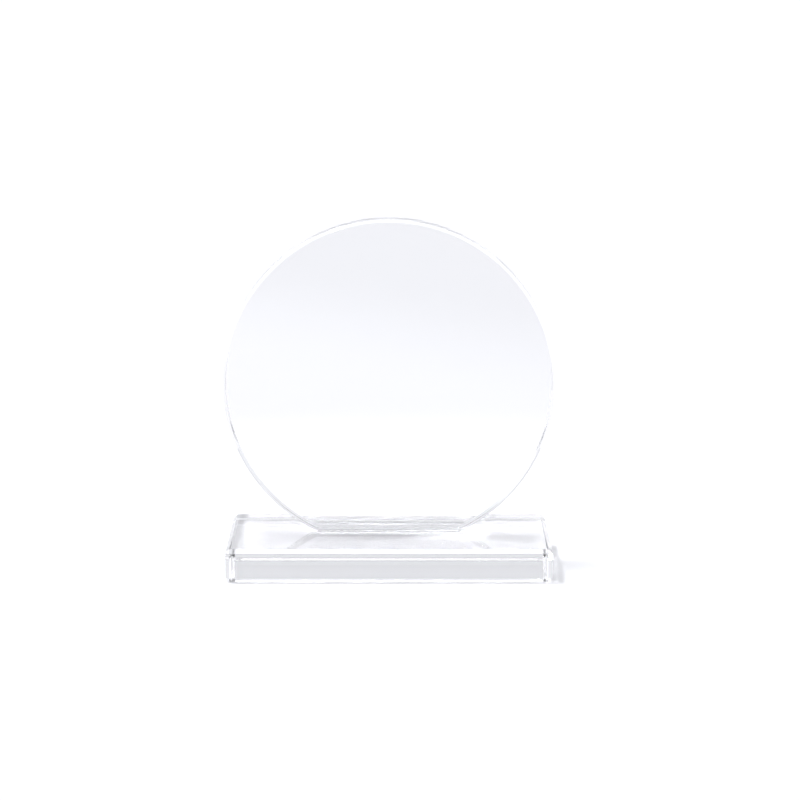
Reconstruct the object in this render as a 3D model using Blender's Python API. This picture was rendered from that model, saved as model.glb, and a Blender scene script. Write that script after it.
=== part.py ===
"""A clear glass disc standing upright on a bevelled glass base, held by a film of clear adhesive.

Metres, +Z up. The origin is the middle of the base's underside, on the surface the object stands on.
X runs along the base's width, and the disc's faces look along -Y (front) and +Y (back).
"""

import math

import bmesh
import bpy
from mathutils import Vector

# Driving dimensions.
BASE_WIDTH = 0.194
BASE_DEPTH = 0.100
BASE_THICKNESS = 0.020
BASE_BEVEL = 0.0023  # 45 degree bevel along all twelve edges

DISC_DIAMETER = 0.200
DISC_THICKNESS = 0.015
DISC_BEVEL = 0.0015  # 45 degree bevel round both faces
FLAT_LENGTH = 0.088  # chord ground across the disc's bottom, before its bevels
DISC_SETBACK = 0.004  # how far the disc's middle plane lies behind the base's middle

FILM_THICKNESS = 0.0004
FILM_LENGTH = 0.0870
FILM_WIDTH = 0.0134
FILM_CORNER_RADIUS = 0.0020
CONTACT_GAP = 0.0003  # left between pieces that touch

# How finely the round outlines are divided.
DISC_ARC_STEPS = 180
FILM_CORNER_STEPS = 8

# Worked out from the dimensions above.
DISC_RADIUS = DISC_DIAMETER / 2
FLAT_DROP = math.sqrt(DISC_RADIUS**2 - (FLAT_LENGTH / 2) ** 2)  # disc's centre down to its flat
FILM_BOTTOM = BASE_THICKNESS + CONTACT_GAP
DISC_BOTTOM = FILM_BOTTOM + FILM_THICKNESS + CONTACT_GAP
DISC_CENTRE = Vector((0.0, DISC_SETBACK, DISC_BOTTOM + FLAT_DROP))


def clear_scene():
    """Removes whatever the scene holds, so that only the model is left."""
    for obj in list(bpy.data.objects):
        bpy.data.objects.remove(obj)


def clear_material(name, colour, roughness, ior):
    """A transparent Principled material, lit through rather than painted."""
    material = bpy.data.materials.new(name)
    material.use_nodes = True
    shader = material.node_tree.nodes["Principled BSDF"]
    shader.inputs["Base Color"].default_value = (*colour, 1.0)
    shader.inputs["Metallic"].default_value = 0.0
    shader.inputs["Roughness"].default_value = roughness
    shader.inputs["IOR"].default_value = ior
    shader.inputs["Transmission Weight"].default_value = 1.0
    material.diffuse_color = (*colour, 1.0)
    return material


def add_object(name, mesh_builder, material, location, parent):
    """Turns a closed bmesh into a named object with its faces pointing out."""
    bmesh.ops.recalc_face_normals(mesh_builder, faces=mesh_builder.faces)
    mesh = bpy.data.meshes.new(name)
    mesh_builder.to_mesh(mesh)
    mesh_builder.free()
    mesh.materials.append(material)
    obj = bpy.data.objects.new(name, mesh)
    bpy.context.scene.collection.objects.link(obj)
    obj.location = location
    obj.parent = parent
    return obj


def join_rings(mesh_builder, rings):
    """Walls between neighbouring rings of equally many points, and a cap on the first and the last."""
    loops = [[mesh_builder.verts.new(point) for point in ring] for ring in rings]
    for near, far in zip(loops, loops[1:]):
        for i in range(len(near)):
            j = (i + 1) % len(near)
            mesh_builder.faces.new((near[i], near[j], far[j], far[i]))
    mesh_builder.faces.new(loops[0])
    mesh_builder.faces.new(loops[-1])


def base_mesh():
    """A rectangular block standing on Z = 0, bevelled along every edge."""
    mesh_builder = bmesh.new()
    bmesh.ops.create_cube(mesh_builder, size=1.0)
    size = Vector((BASE_WIDTH, BASE_DEPTH, BASE_THICKNESS))
    bmesh.ops.scale(mesh_builder, vec=size, verts=mesh_builder.verts)
    bmesh.ops.translate(mesh_builder, vec=(0.0, 0.0, BASE_THICKNESS / 2), verts=mesh_builder.verts)
    bmesh.ops.bevel(
        mesh_builder,
        geom=mesh_builder.edges[:],
        offset=BASE_BEVEL,
        offset_type="OFFSET",
        segments=1,
        affect="EDGES",
    )
    return mesh_builder


def disc_outline(inset):
    """Points (x, z) round the disc with its bottom cut flat, all of it moved inwards by inset."""
    radius = DISC_RADIUS - inset
    half_cut = math.acos((FLAT_DROP - inset) / radius)
    start = -math.pi / 2 + half_cut
    sweep = 2 * (math.pi - half_cut)
    angles = [start + sweep * i / DISC_ARC_STEPS for i in range(DISC_ARC_STEPS + 1)]
    return [(radius * math.cos(angle), radius * math.sin(angle)) for angle in angles]


def disc_mesh():
    """The disc about its own centre: front face, front bevel, rim with the flat, back bevel, back face."""
    half = DISC_THICKNESS / 2
    sections = [
        (-half, DISC_BEVEL),
        (-half + DISC_BEVEL, 0.0),
        (half - DISC_BEVEL, 0.0),
        (half, DISC_BEVEL),
    ]
    mesh_builder = bmesh.new()
    join_rings(mesh_builder, [[(x, y, z) for x, z in disc_outline(inset)] for y, inset in sections])
    return mesh_builder


def film_outline():
    """Points (x, y) round a rectangle with rounded corners."""
    points = []
    for quarter, (side_x, side_y) in enumerate([(1, 1), (-1, 1), (-1, -1), (1, -1)]):
        centre_x = side_x * (FILM_LENGTH / 2 - FILM_CORNER_RADIUS)
        centre_y = side_y * (FILM_WIDTH / 2 - FILM_CORNER_RADIUS)
        for i in range(FILM_CORNER_STEPS + 1):
            angle = math.pi / 2 * (quarter + i / FILM_CORNER_STEPS)
            x = centre_x + FILM_CORNER_RADIUS * math.cos(angle)
            y = centre_y + FILM_CORNER_RADIUS * math.sin(angle)
            points.append((x, y))
    return points


def film_mesh():
    """The adhesive film, lying on its own origin."""
    mesh_builder = bmesh.new()
    join_rings(mesh_builder, [[(x, y, z) for x, y in film_outline()] for z in (0.0, FILM_THICKNESS)])
    return mesh_builder


def shade_round(obj, sharp_angle):
    """Smooths the curved walls and keeps the ground edges crisp."""
    obj.data.shade_smooth()
    obj.data.set_sharp_from_angle(angle=sharp_angle)


def build():
    clear_scene()
    glass = clear_material("polished_glass", (0.96, 0.97, 0.98), roughness=0.01, ior=1.52)
    adhesive = clear_material("clear_adhesive", (0.95, 0.95, 0.96), roughness=0.05, ior=1.49)

    assembly = bpy.data.objects.new("disc_on_base", None)
    bpy.context.scene.collection.objects.link(assembly)

    add_object("base_block", base_mesh(), glass, (0.0, 0.0, 0.0), assembly)
    film_place = (0.0, DISC_SETBACK, FILM_BOTTOM)
    film = add_object("adhesive_film", film_mesh(), adhesive, film_place, assembly)
    disc = add_object("glass_disc", disc_mesh(), glass, DISC_CENTRE, assembly)

    shade_round(film, sharp_angle=math.radians(30))
    shade_round(disc, sharp_angle=math.radians(30))


build()
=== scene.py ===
"""Looks of the clear glass disc on its bevelled glass base, in metres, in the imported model's own frame.

The CAD solids are replaced by finer pieces of the same size: glass with rounded arrises, and the cured
adhesive with its squeezed-out bead and bubbles. X runs along the base, and the disc faces -Y.
"""

import math
import random

import bmesh
import bpy
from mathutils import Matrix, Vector


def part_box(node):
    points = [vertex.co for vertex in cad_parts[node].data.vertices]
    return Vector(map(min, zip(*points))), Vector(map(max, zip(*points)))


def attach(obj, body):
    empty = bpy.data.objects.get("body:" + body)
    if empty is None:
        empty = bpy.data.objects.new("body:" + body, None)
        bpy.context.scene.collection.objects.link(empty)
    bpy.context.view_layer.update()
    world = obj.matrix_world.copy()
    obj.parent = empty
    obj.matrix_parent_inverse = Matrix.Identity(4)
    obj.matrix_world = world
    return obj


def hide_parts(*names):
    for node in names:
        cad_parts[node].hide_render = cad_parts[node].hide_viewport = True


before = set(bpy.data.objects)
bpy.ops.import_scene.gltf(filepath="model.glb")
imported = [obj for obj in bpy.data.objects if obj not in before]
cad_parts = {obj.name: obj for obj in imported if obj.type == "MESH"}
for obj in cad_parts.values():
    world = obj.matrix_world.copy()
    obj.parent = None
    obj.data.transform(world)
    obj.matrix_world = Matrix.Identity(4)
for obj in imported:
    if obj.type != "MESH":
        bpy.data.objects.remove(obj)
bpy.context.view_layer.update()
ROOT_BODY = "root"

# Glass shapes that the solids' boxes don't say.
BASE_BEVEL = 0.0023
DISC_BEVEL = 0.0015
ARRIS_RADIUS = 0.00015  # the rounding that polishing leaves on each ground edge
ARRIS_STEPS = 4
DISC_ARC_STEPS = 480

DISC_LOW, DISC_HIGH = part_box("glass_disc")
BASE_LOW, BASE_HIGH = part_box("base_block")
FILM_LOW, FILM_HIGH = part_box("adhesive_film")

DISC_RADIUS = (DISC_HIGH.x - DISC_LOW.x) / 2
DISC_HALF = (DISC_HIGH.y - DISC_LOW.y) / 2
DISC_CENTRE = Vector((0.0, (DISC_LOW.y + DISC_HIGH.y) / 2, DISC_HIGH.z - DISC_RADIUS))
FLAT_DROP = DISC_CENTRE.z - DISC_LOW.z
BASE_TOP = BASE_HIGH.z

# Camera, at the photograph's angle.
CAMERA_DISTANCE = 1.8007
CAMERA_ELEVATION = math.radians(10.443)
CAMERA_LENS = 134.29
CAMERA_AIM = Vector((0.0067, 0.0, 0.1011))

# The white table, its tone, and the glow that keeps it white beyond the key light's pool.
FLOOR_RADIUS = 12.0
FLOOR_DROP = 0.0002
FLOOR_TONE = 0.82
FLOOR_GLOW = 0.257
FLOOR_GLOW_RANGE = (0.28, 0.46)  # the glow sets in between these two distances from the object

# The patch of painted shade on the table, in front of the object, that the disc's upper half reflects.
SHADE_PATCH_TONE = 0.02
PATCH_NEAR = (-1.25, -0.60)  # along Y the table darkens from the second of these places to the first,
PATCH_NEAR_SLANT = -1.1  # on a slant: this much of X is added to Y
PATCH_HALF_WIDTH = (0.26, 0.42)  # the patch's sides fade between these distances from the middle
PATCH_FAR = (-2.3, -1.85)  # and its far end between these places

# The room, by side and by height on a sphere of radius 1.
LIGHT_COLOUR = (0.98, 0.988, 1.036)
ROOM_HORIZON = {"back": 0.82, "front": 0.05, "left": 1.30, "right": 1.20}
ROOM_MIDDLE = {"back": 0.30, "front": 0.05, "left": 3.20, "right": 1.30}
ROOM_OVERHEAD = 0.95
MIDDLE_HEIGHT = (0.36, 0.50)  # the horizon's strengths give way to the middle's between these heights
OVERHEAD_HEIGHT = (0.60, 0.80)  # and the middle's to the strength overhead between these
BACKDROP_GLOW = 0.53  # the white backdrop, low down behind the object, is this much brighter than the room
BACKDROP_TOP = (0.115, 0.165)  # it fades out between these two heights
BACKDROP_SIDE = (0.25, 0.36)  # and between these two distances to each side

# The key light: a row of three soft lamps high on the left.
KEY_DISTANCE = 1.41
KEY_ELEVATION = math.radians(71)
KEY_BEHIND = (-2, 5, 12)  # how many degrees each lamp leans behind the disc's plane
KEY_RADIUS = 0.11
KEY_CONE = math.radians(34)
KEY_CONE_BLEND = 0.35
KEY_POWER = 51.0  # of all the lamps together
KEY_AIM = Vector((-0.0235, 0.0, 0.0))

# The cured adhesive between the base's top and the disc's flat.
ADHESIVE_CLEARANCE = 0.00002
BEAD_CLIMB = 0.0005  # how far the squeezed-out bead climbs the disc's bevels
BEAD_FOOT = 0.0004  # and how far its foot spreads beyond that
BEAD_STATIONS = 160
BEAD_CURVE_STEPS = 6
BEAD_END_TAPER = 0.0025
SWELL_WAVES = 4
SWELL_RATES = (90, 700)  # slowest and fastest ripple of the bead's width, in radians per metre
SWELL_MEAN = 0.72
SWELL_DEPTH = 0.28
BEAD_END_WIDTH = 0.8  # of the width that the bead has away from its ends
BUBBLE_COUNT = 46
BUBBLE_RADIUS_RANGE = (0.00010, 0.00038)
BUBBLE_CROWDING = 0.45  # below 1, the bubbles gather towards the flat's two ends
BUBBLE_SPACING = 1.2  # the least distance between two bubbles, in sums of their radii

# Glass. Grains are noise cells per metre along x, y and z.
GLASS_IOR = 1.52
GLASS_TONE = (0.80, 0.80, 0.80)
GLASS_DENSITY = 5.0
FACE_NORMAL_RANGE = (0.90, 0.985)  # how squarely a surface looks along an axis, from bevel to big flat face
FACE_ROUGHNESS = 0.0
FACE_WAVE_DEPTH = 0.0000006
FACE_WAVE_GRAINS = (22.0, 22.0, 22.0)
SMEAR_ROUGHNESS = 0.035
SMEAR_NOISE_RANGE = (0.52, 0.75)
EDGE_ROUGHNESS_RANGE = (0.0, 0.03)
EDGE_NOISE_RANGE = (0.3, 0.7)
DISC_FACE_AXES = (1,)
DISC_STREAK_GRAINS = (30.0, 2400.0, 30.0)
DISC_SMEAR_GRAINS = (45.0, 45.0, 28.0)
DISC_SKIN_TONE = 0.970  # what wiping marks and dust leave of the light that passes the disc
BASE_FACE_AXES = (0, 1, 2)
BASE_STREAK_GRAINS = (60.0, 1500.0, 1500.0)
BASE_SMEAR_GRAINS = (35.0, 60.0, 60.0)

# The faint greasy mark on the disc.
THUMB_MARK = Vector((0.0408, 0.0, 0.1508))
THUMB_MARK_TONE = 0.945
THUMB_MARK_RADII = (0.0010, 0.0034)  # full mark inside the first, none outside the second
THUMB_MARK_NARROWING = 1.25
THUMB_MARK_RAGGED_DEPTH = 0.0016
THUMB_MARK_RAGGED_GRAINS = (900.0, 900.0, 900.0)

# Adhesive.
ADHESIVE_IOR = 1.49
ADHESIVE_TONE = (0.90, 0.90, 0.90)
ADHESIVE_DENSITY = 60.0
ADHESIVE_ROUGHNESS_RANGE = (0.02, 0.16)
ADHESIVE_CLOUD_GRAINS = (260.0, 260.0, 900.0)
ADHESIVE_CLOUD_RANGE = (0.35, 0.70)
ADHESIVE_SKIN_GRAINS = (700.0, 900.0, 900.0)
ADHESIVE_SKIN_DEPTH = 0.00002

# Everything irregular comes from this one seeded generator, so that it is the same on every run.
CHANCE = random.Random(27)

# ---------------------------------------------------------------- mesh helpers


def new_object(name, mesh, material, body=ROOT_BODY):
    """A named object that carries one material and rides on a body of the frame."""
    mesh.materials.clear()
    mesh.materials.append(material)
    obj = bpy.data.objects.new(name, mesh)
    bpy.context.scene.collection.objects.link(obj)
    if body is not None:
        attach(obj, body)
    return obj


def rounded_corner(corner, turn_from, turn_to, radius, steps):
    """Section points (outwards, along, normal angle) that round a corner between two straight runs."""
    before = Vector((math.cos(turn_from), math.sin(turn_from)))
    after = Vector((math.cos(turn_to), math.sin(turn_to)))
    centre = Vector(corner) - radius * (before + after) / (1 + before.dot(after))
    points = []
    for i in range(steps + 1):
        angle = turn_from + (turn_to - turn_from) * i / steps
        points.append((centre.x + radius * math.cos(angle), centre.y + radius * math.sin(angle), angle))
    return points


# ---------------------------------------------------------------- the disc


def disc_section():
    """The disc's edge from the front face round the rim to the back face: (outwards, y, normal angle)."""
    quarter = math.pi / 4
    corners = [
        ((-DISC_BEVEL, -DISC_HALF), -2 * quarter, -quarter),
        ((0.0, -DISC_HALF + DISC_BEVEL), -quarter, 0.0),
        ((0.0, DISC_HALF - DISC_BEVEL), 0.0, quarter),
        ((-DISC_BEVEL, DISC_HALF), quarter, 2 * quarter),
    ]
    section = []
    for corner, turn_from, turn_to in corners:
        section += rounded_corner(corner, turn_from, turn_to, ARRIS_RADIUS, ARRIS_STEPS)
    return section


def disc_angles(inset):
    """Angles of the points round the disc's arc, from one end of the bottom flat to the other."""
    half_cut = math.acos((FLAT_DROP - inset) / (DISC_RADIUS - inset))
    start = -math.pi / 2 + half_cut
    sweep = 2 * (math.pi - half_cut)
    return [start + sweep * i / DISC_ARC_STEPS for i in range(DISC_ARC_STEPS + 1)]


def disc_mesh():
    """The disc as rings swept round its section, with the exact normal stored at every face corner."""
    verts, rings = [], []
    for outwards, along, turn in disc_section():
        angles = disc_angles(-outwards)
        rings.append((len(verts), angles, turn))
        radius = DISC_RADIUS + outwards
        for angle in angles:
            verts.append(DISC_CENTRE + Vector((radius * math.cos(angle), along, radius * math.sin(angle))))

    count = DISC_ARC_STEPS + 1
    faces, normals = [], []

    def normal(ring, i, on_flat):
        _, angles, turn = ring
        direction = -math.pi / 2 if on_flat else angles[i]
        radial = Vector((math.cos(direction), 0.0, math.sin(direction)))
        return radial * math.cos(turn) + Vector((0.0, math.sin(turn), 0.0))

    for near, far in zip(rings, rings[1:]):
        for i in range(count):
            j = (i + 1) % count
            on_flat = i == count - 1
            faces.append((near[0] + i, far[0] + i, far[0] + j, near[0] + j))
            normals += [
                normal(near, i, on_flat),
                normal(far, i, on_flat),
                normal(far, j, on_flat),
                normal(near, j, on_flat),
            ]
    first, last = rings[0][0], rings[-1][0]
    faces.append(tuple(first + i for i in range(count)))
    normals += [Vector((0.0, -1.0, 0.0))] * count
    faces.append(tuple(last + i for i in reversed(range(count))))
    normals += [Vector((0.0, 1.0, 0.0))] * count

    mesh = bpy.data.meshes.new("disc")
    mesh.from_pydata([tuple(v) for v in verts], [], faces)
    mesh.shade_smooth()
    mesh.normals_split_custom_set([tuple(n) for n in normals])
    mesh.validate(clean_customdata=False)
    return mesh


# ---------------------------------------------------------------- the base


def base_mesh():
    """The block with its bevels, each bevel's own edges rounded as polishing leaves them."""
    builder = bmesh.new()
    bmesh.ops.create_cube(builder, size=1.0)
    bmesh.ops.scale(builder, vec=BASE_HIGH - BASE_LOW, verts=builder.verts)
    bmesh.ops.translate(builder, vec=(BASE_HIGH + BASE_LOW) / 2, verts=builder.verts)
    bmesh.ops.bevel(
        builder, geom=builder.edges[:], offset=BASE_BEVEL, offset_type="OFFSET", segments=1, affect="EDGES"
    )
    bmesh.ops.recalc_face_normals(builder, faces=builder.faces)
    mesh = bpy.data.meshes.new("base_rough")
    builder.to_mesh(mesh)
    builder.free()
    mesh.shade_smooth()

    rough = bpy.data.objects.new("base_rough", mesh)
    bpy.context.scene.collection.objects.link(rough)
    arris = rough.modifiers.new("arris", "BEVEL")
    arris.width = ARRIS_RADIUS
    arris.segments = ARRIS_STEPS
    arris.limit_method = "ANGLE"
    arris.angle_limit = math.radians(20)
    arris.harden_normals = True
    arris.use_clamp_overlap = True
    graph = bpy.context.evaluated_depsgraph_get()
    finished = bpy.data.meshes.new_from_object(rough.evaluated_get(graph), depsgraph=graph)
    bpy.data.objects.remove(rough)
    return finished


# ---------------------------------------------------------------- the adhesive


def swell_profile():
    """A smooth random function of x, at most 1: how far the adhesive was squeezed out there."""
    waves = [(CHANCE.uniform(*SWELL_RATES), CHANCE.uniform(0, 2 * math.pi)) for _ in range(SWELL_WAVES)]

    def swell(x):
        ripple = sum(math.sin(rate * x + phase) for rate, phase in waves) / len(waves)
        return SWELL_MEAN + SWELL_DEPTH * ripple

    return swell


def bead_side(swell, taper):
    """One side of the bead's section: (out from the disc's middle plane, z), from its top to its foot."""
    low = BASE_TOP + ADHESIVE_CLEARANCE
    high = DISC_LOW.z - ADHESIVE_CLEARANCE
    flat_edge = (DISC_HALF - DISC_BEVEL) * taper
    climb = BEAD_CLIMB * swell * taper
    top = Vector((flat_edge + climb, high + climb - ADHESIVE_CLEARANCE))
    foot = Vector((flat_edge + climb + BEAD_FOOT * swell, low))
    pull = Vector((flat_edge + 0.5 * climb, low + 0.3 * (high - low)))  # surface tension hollows the bead
    side = [Vector((flat_edge - ADHESIVE_CLEARANCE, high))]
    for i in range(BEAD_CURVE_STEPS + 1):
        t = i / BEAD_CURVE_STEPS
        side.append(top * (1 - t) ** 2 + pull * 2 * t * (1 - t) + foot * t * t)
    return side


def add_bubble(builder, centre, radius, half_height):
    """A closed hollow inside the adhesive, its faces turned towards the air in it."""
    made = bmesh.ops.create_icosphere(builder, subdivisions=2, radius=1.0)
    bmesh.ops.scale(builder, vec=(radius, radius, half_height), verts=made["verts"])
    bmesh.ops.translate(builder, vec=centre, verts=made["verts"])
    faces = {face for vert in made["verts"] for face in vert.link_faces}
    bmesh.ops.reverse_faces(builder, faces=list(faces))


def bubble_places():
    """Bubble centres (x, out from the middle plane) and radii: most of them towards the flat's two ends."""
    half_length = (FILM_HIGH.x - FILM_LOW.x) / 2 - BEAD_END_TAPER
    half_width = DISC_HALF - DISC_BEVEL - BUBBLE_RADIUS_RANGE[1] * 1.5
    places = []
    while len(places) < BUBBLE_COUNT:
        radius = CHANCE.uniform(*BUBBLE_RADIUS_RANGE)
        x = CHANCE.choice((-1, 1)) * half_length * CHANCE.random() ** BUBBLE_CROWDING
        out = CHANCE.uniform(-half_width, half_width)
        if all(math.hypot(x - a, out - b) > BUBBLE_SPACING * (radius + r) for a, b, r in places):
            places.append((x, out, radius))
    return places


def adhesive_mesh():
    """The adhesive under the flat, with the hollow bead at its front and back, and its trapped bubbles."""
    front_swell, back_swell = swell_profile(), swell_profile()
    half_length = (FILM_HIGH.x - FILM_LOW.x) / 2
    builder = bmesh.new()
    loops = []
    for i in range(BEAD_STATIONS + 1):
        x = -half_length + 2 * half_length * i / BEAD_STATIONS
        from_end = min(1.0, (half_length - abs(x)) / BEAD_END_TAPER)
        taper = BEAD_END_WIDTH + (1 - BEAD_END_WIDTH) * math.sqrt(1 - (1 - from_end) ** 2)
        front = bead_side(front_swell(x), taper)
        back = bead_side(back_swell(x), taper)
        section = [(x, DISC_CENTRE.y - out, z) for out, z in front]
        section += [(x, DISC_CENTRE.y + out, z) for out, z in reversed(back)]
        loops.append([builder.verts.new(point) for point in section])
    for near, far in zip(loops, loops[1:]):
        for i in range(len(near)):
            j = (i + 1) % len(near)
            builder.faces.new((near[i], near[j], far[j], far[i]))
    builder.faces.new(loops[0])
    builder.faces.new(loops[-1])
    bmesh.ops.recalc_face_normals(builder, faces=builder.faces)

    middle = (BASE_TOP + DISC_LOW.z) / 2
    tallest = (DISC_LOW.z - BASE_TOP) / 2 - 3 * ADHESIVE_CLEARANCE
    for x, out, radius in bubble_places():
        add_bubble(builder, (x, DISC_CENTRE.y + out, middle), radius, min(radius, tallest))
    mesh = bpy.data.meshes.new("adhesive")
    builder.to_mesh(mesh)
    builder.free()
    mesh.shade_smooth()
    mesh.set_sharp_from_angle(angle=math.radians(35))
    return mesh


# ---------------------------------------------------------------- materials


def smooth_range(tree, value, low, high, to_low, to_high):
    """A node that turns value's range low..high smoothly into to_low..to_high."""
    node = tree.nodes.new("ShaderNodeMapRange")
    node.interpolation_type = "SMOOTHSTEP"
    node.inputs["From Min"].default_value = low
    node.inputs["From Max"].default_value = high
    node.inputs["To Min"].default_value = to_low
    node.inputs["To Max"].default_value = to_high
    tree.links.new(value, node.inputs["Value"])
    return node.outputs["Result"]


def combine(tree, operation, *values):
    """A maths node over one to three values, each a number or a node's output."""
    node = tree.nodes.new("ShaderNodeMath")
    node.operation = operation
    for socket, value in zip(node.inputs, values):
        if isinstance(value, (int, float)):
            socket.default_value = value
        else:
            tree.links.new(value, socket)
    return node.outputs["Value"]


def square(tree, value):
    return combine(tree, "MULTIPLY", value, value)


def flat_length(tree, across, along):
    """The length of the flat vector (across, along)."""
    return combine(tree, "SQRT", combine(tree, "ADD", square(tree, across), square(tree, along)))


def split_coordinates(tree, output):
    """The three components of a texture coordinate of the object."""
    where = tree.nodes.new("ShaderNodeTexCoord")
    split = tree.nodes.new("ShaderNodeSeparateXYZ")
    tree.links.new(where.outputs[output], split.inputs["Vector"])
    return split.outputs


def stretched_noise(tree, scale, detail=2.0):
    """Noise over the object's own coordinates, with its own number of grains per metre on each axis."""
    where = tree.nodes.new("ShaderNodeTexCoord")
    mapping = tree.nodes.new("ShaderNodeMapping")
    mapping.inputs["Scale"].default_value = scale
    noise = tree.nodes.new("ShaderNodeTexNoise")
    noise.inputs["Scale"].default_value = 1.0
    noise.inputs["Detail"].default_value = detail
    tree.links.new(where.outputs["Object"], mapping.inputs["Vector"])
    tree.links.new(mapping.outputs["Vector"], noise.inputs["Vector"])
    return noise.outputs["Fac"]


def blend(tree, factor, first, second):
    """first where factor is 0, second where it is 1."""
    node = tree.nodes.new("ShaderNodeMix")
    node.data_type = "FLOAT"
    factor_socket, _, first_socket, second_socket = node.inputs[:4]
    for socket, value in ((factor_socket, factor), (first_socket, first), (second_socket, second)):
        if isinstance(value, (int, float)):
            socket.default_value = value
        else:
            tree.links.new(value, socket)
    return node.outputs[0]


def face_mask(tree, axes):
    """1 on the big flat faces that look along one of the axes, 0 on the ground bevels and rims."""
    normal = split_coordinates(tree, "Normal")
    steepest = 0.0
    for axis in axes:
        steepest = combine(tree, "MAXIMUM", steepest, combine(tree, "ABSOLUTE", normal[axis]))
    return smooth_range(tree, steepest, *FACE_NORMAL_RANGE, 0.0, 1.0)


def absorb(tree, tone, density):
    """A neutral tint that deepens with the length of the path through the piece."""
    volume = tree.nodes.new("ShaderNodeVolumeAbsorption")
    volume.inputs["Color"].default_value = (*tone, 1.0)
    volume.inputs["Density"].default_value = density
    tree.links.new(volume.outputs["Volume"], tree.nodes["Material Output"].inputs["Volume"])


def clear_shader(name, ior):
    """A new colourless see-through material: itself, its node tree and its shader."""
    material = bpy.data.materials.new(name)
    material.use_nodes = True
    shader = material.node_tree.nodes["Principled BSDF"]
    shader.inputs["Base Color"].default_value = (1.0, 1.0, 1.0, 1.0)
    shader.inputs["IOR"].default_value = ior
    shader.inputs["Transmission Weight"].default_value = 1.0
    return material, material.node_tree, shader


def relief(tree, shader, height, depth):
    """Bumps the shader's surface by height times depth metres."""
    bump = tree.nodes.new("ShaderNodeBump")
    bump.inputs["Strength"].default_value = 1.0
    bump.inputs["Distance"].default_value = depth
    tree.links.new(height, bump.inputs["Height"])
    tree.links.new(bump.outputs["Normal"], shader.inputs["Normal"])


def glass_material(name, face_axes, streak_grains, smear_grains):
    """Polished glass: faces with faint smears and a slight wave, and bevels with a finely streaked gloss."""
    material, tree, shader = clear_shader(name, GLASS_IOR)
    faces = face_mask(tree, face_axes)
    smear = smooth_range(tree, stretched_noise(tree, smear_grains, 4.0), *SMEAR_NOISE_RANGE, 0.0, 1.0)
    streaks = stretched_noise(tree, streak_grains, 1.0)
    face_gloss = smooth_range(tree, smear, 0.0, 1.0, FACE_ROUGHNESS, SMEAR_ROUGHNESS)
    edge_gloss = smooth_range(tree, streaks, *EDGE_NOISE_RANGE, *EDGE_ROUGHNESS_RANGE)
    tree.links.new(blend(tree, faces, edge_gloss, face_gloss), shader.inputs["Roughness"])
    wave = combine(tree, "MULTIPLY", stretched_noise(tree, FACE_WAVE_GRAINS, 1.0), FACE_WAVE_DEPTH)
    relief(tree, shader, blend(tree, faces, 0.0, wave), 1.0)
    absorb(tree, GLASS_TONE, GLASS_DENSITY)
    return material, tree, shader


def thumb_mark(tree, shader):
    """One faint greasy mark on the upper right of the disc, a few millimetres across."""
    place = split_coordinates(tree, "Object")
    sideways = combine(tree, "SUBTRACT", place[0], THUMB_MARK.x)
    across = combine(tree, "MULTIPLY", sideways, THUMB_MARK_NARROWING)
    up = combine(tree, "SUBTRACT", place[2], THUMB_MARK.z)
    noise = stretched_noise(tree, THUMB_MARK_RAGGED_GRAINS, 3.0)
    ragged = combine(tree, "MULTIPLY", noise, THUMB_MARK_RAGGED_DEPTH)
    spread = combine(tree, "ADD", flat_length(tree, across, up), ragged)
    tone = smooth_range(tree, spread, *THUMB_MARK_RADII, THUMB_MARK_TONE, DISC_SKIN_TONE)
    tree.links.new(tone, shader.inputs["Base Color"])


def adhesive_material():
    """Cured clear adhesive: almost as clear as the glass, with a slightly uneven skin."""
    material, tree, shader = clear_shader("clear_adhesive", ADHESIVE_IOR)
    cloud = stretched_noise(tree, ADHESIVE_CLOUD_GRAINS, 3.0)
    gloss = smooth_range(tree, cloud, *ADHESIVE_CLOUD_RANGE, *ADHESIVE_ROUGHNESS_RANGE)
    tree.links.new(gloss, shader.inputs["Roughness"])
    relief(tree, shader, stretched_noise(tree, ADHESIVE_SKIN_GRAINS), ADHESIVE_SKIN_DEPTH)
    absorb(tree, ADHESIVE_TONE, ADHESIVE_DENSITY)
    return material


disc_glass, disc_tree, disc_shader = glass_material(
    "disc_glass", DISC_FACE_AXES, DISC_STREAK_GRAINS, DISC_SMEAR_GRAINS
)
thumb_mark(disc_tree, disc_shader)
base_glass, _, _ = glass_material("base_glass", BASE_FACE_AXES, BASE_STREAK_GRAINS, BASE_SMEAR_GRAINS)

disc = new_object("disc_polished", disc_mesh(), disc_glass)
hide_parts("glass_disc")
base = new_object("base_polished", base_mesh(), base_glass)
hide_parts("base_block")
bead = new_object("adhesive_bead", adhesive_mesh(), adhesive_material())
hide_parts("adhesive_film")

# ---------------------------------------------------------------- studio


def from_sides(tree, axes, strengths):
    """One strength all round, blended between the four sides of the room."""
    x, y, z = axes
    level = combine(tree, "SUBTRACT", 1.0, square(tree, z))
    level_above_zero = combine(tree, "MAXIMUM", level, 0.000001)
    total = 0.0
    for side, axis, sign in (("back", y, 1.0), ("front", y, -1.0), ("left", x, -1.0), ("right", x, 1.0)):
        towards = combine(tree, "MAXIMUM", combine(tree, "MULTIPLY", axis, sign), 0.0)
        share = combine(tree, "DIVIDE", square(tree, towards), level_above_zero)
        total = combine(tree, "ADD", total, combine(tree, "MULTIPLY", share, strengths[side]))
    return total


def backdrop(tree, axes):
    """1 in the directions of the white backdrop low down behind the object, 0 elsewhere."""
    x, y, z = axes
    low = smooth_range(tree, z, *BACKDROP_TOP, 1.0, 0.0)
    narrow = smooth_range(tree, combine(tree, "ABSOLUTE", x), *BACKDROP_SIDE, 1.0, 0.0)
    behind = combine(tree, "GREATER_THAN", y, 0.0)
    return combine(tree, "MULTIPLY", combine(tree, "MULTIPLY", low, narrow), behind)


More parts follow.
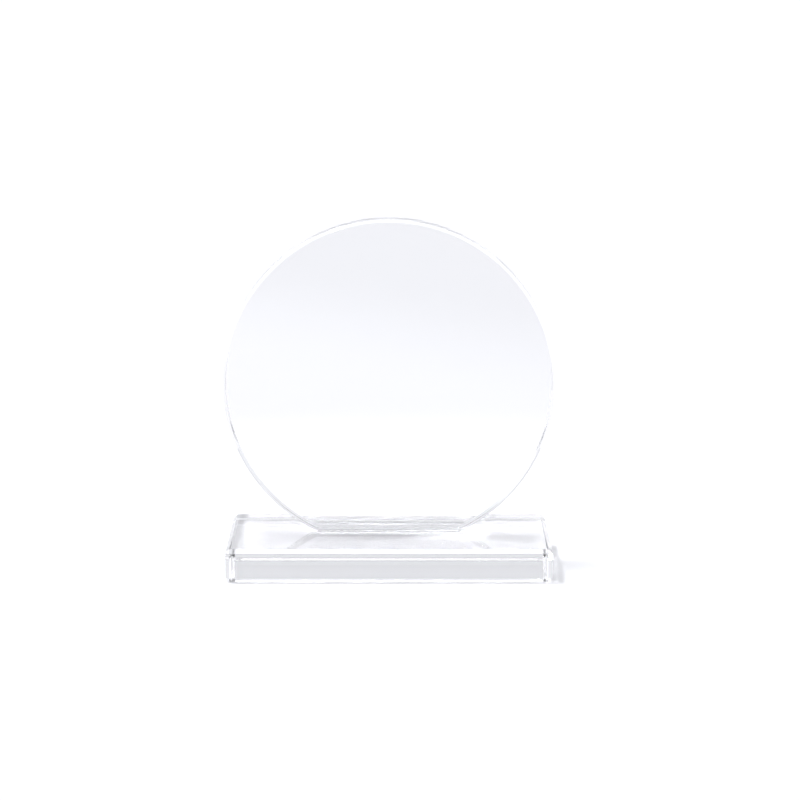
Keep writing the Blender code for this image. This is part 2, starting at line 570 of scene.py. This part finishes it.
def studio_world():
    """The pale room: white backdrop behind, brightest half-way up on the left, dark in front."""
    world = bpy.data.worlds.new("studio")
    world.use_nodes = True
    bpy.context.scene.world = world
    tree = world.node_tree
    axes = split_coordinates(tree, "Generated")
    middle_share = smooth_range(tree, axes[2], *MIDDLE_HEIGHT, 0.0, 1.0)
    overhead_share = smooth_range(tree, axes[2], *OVERHEAD_HEIGHT, 0.0, 1.0)
    horizon = from_sides(tree, axes, ROOM_HORIZON)
    middle = from_sides(tree, axes, ROOM_MIDDLE)
    room = blend(tree, overhead_share, blend(tree, middle_share, horizon, middle), ROOM_OVERHEAD)
    strength = combine(tree, "MULTIPLY_ADD", backdrop(tree, axes), BACKDROP_GLOW, room)
    background = tree.nodes["Background"]
    background.inputs["Color"].default_value = (*LIGHT_COLOUR, 1.0)
    tree.links.new(strength, background.inputs["Strength"])


def floor_tone(tree, x, y):
    """The table's tone: white, but for the patch of painted shade in front of the object."""
    slant = combine(tree, "MULTIPLY", x, PATCH_NEAR_SLANT)
    nearer = smooth_range(tree, combine(tree, "ADD", y, slant), *PATCH_NEAR, SHADE_PATCH_TONE, FLOOR_TONE)
    beside = smooth_range(tree, combine(tree, "ABSOLUTE", x), *PATCH_HALF_WIDTH, 0.0, FLOOR_TONE)
    beyond = smooth_range(tree, y, *PATCH_FAR, FLOOR_TONE, 0.0)
    return combine(tree, "MAXIMUM", combine(tree, "MAXIMUM", nearer, beside), beyond)


def floor_material():
    """A matt white table top that glows a little away from the object."""
    material = bpy.data.materials.new("floor")
    material.use_nodes = True
    tree = material.node_tree
    shader = tree.nodes["Principled BSDF"]
    shader.inputs["Roughness"].default_value = 1.0
    shader.inputs["Specular IOR Level"].default_value = 0.0
    x, y, _ = split_coordinates(tree, "Object")
    tone = floor_tone(tree, x, y)
    tree.links.new(tone, shader.inputs["Base Color"])
    glow = smooth_range(tree, flat_length(tree, x, y), *FLOOR_GLOW_RANGE, 0.0, FLOOR_GLOW)
    shader.inputs["Emission Color"].default_value = (*LIGHT_COLOUR, 1.0)
    tree.links.new(combine(tree, "MULTIPLY", glow, tone), shader.inputs["Emission Strength"])
    return material


def studio_floor():
    """The round table top, just below the base."""
    builder = bmesh.new()
    bmesh.ops.create_circle(builder, cap_ends=True, radius=FLOOR_RADIUS, segments=64)
    bmesh.ops.translate(builder, vec=(0, 0, -FLOOR_DROP), verts=builder.verts)
    mesh = bpy.data.meshes.new("floor")
    builder.to_mesh(mesh)
    builder.free()
    floor = new_object("floor", mesh, floor_material(), body=None)


def key_light(behind):
    """One lamp of the key: a soft spot from the left, its pool round the object and the table near it."""
    data = bpy.data.lights.new("key", "SPOT")
    data.shadow_soft_size = KEY_RADIUS
    data.spot_size = KEY_CONE
    data.spot_blend = KEY_CONE_BLEND
    data.energy = KEY_POWER / len(KEY_BEHIND)
    data.color = LIGHT_COLOUR
    light = bpy.data.objects.new("key", data)
    bpy.context.scene.collection.objects.link(light)
    towards = Vector((-math.cos(KEY_ELEVATION), math.sin(behind), math.sin(KEY_ELEVATION))).normalized()
    light.location = KEY_AIM + KEY_DISTANCE * towards
    light.rotation_euler = (-towards).to_track_quat("-Z", "Y").to_euler()


def photo_camera():
    """The camera, in front of the object and a little above it, without shift or depth of field."""
    data = bpy.data.cameras.new("camera")
    data.lens = CAMERA_LENS
    data.sensor_width = 36.0
    data.clip_end = 20.0
    camera = bpy.data.objects.new("camera", data)
    bpy.context.scene.collection.objects.link(camera)
    back = Vector((0.0, -math.cos(CAMERA_ELEVATION), math.sin(CAMERA_ELEVATION)))
    camera.location = CAMERA_AIM + CAMERA_DISTANCE * back
    camera.rotation_euler = (-back).to_track_quat("-Z", "Y").to_euler()
    bpy.context.scene.camera = camera


def light_paths():
    """Lets light travel through all the glass, from face to face, before it is given up."""
    scene = bpy.context.scene
    scene.view_settings.view_transform = "Standard"
    scene.cycles.max_bounces = 48
    scene.cycles.glossy_bounces = 40
    scene.cycles.transmission_bounces = 40
    scene.cycles.blur_glossy = 0.0  # keeps the shadows seen through the glass crisp
    scene.cycles.sample_clamp_indirect = 0.0  # keeps the key light that the glass lets through


studio_world()
studio_floor()
for degrees in KEY_BEHIND:
    key_light(math.radians(degrees))
photo_camera()
light_paths()
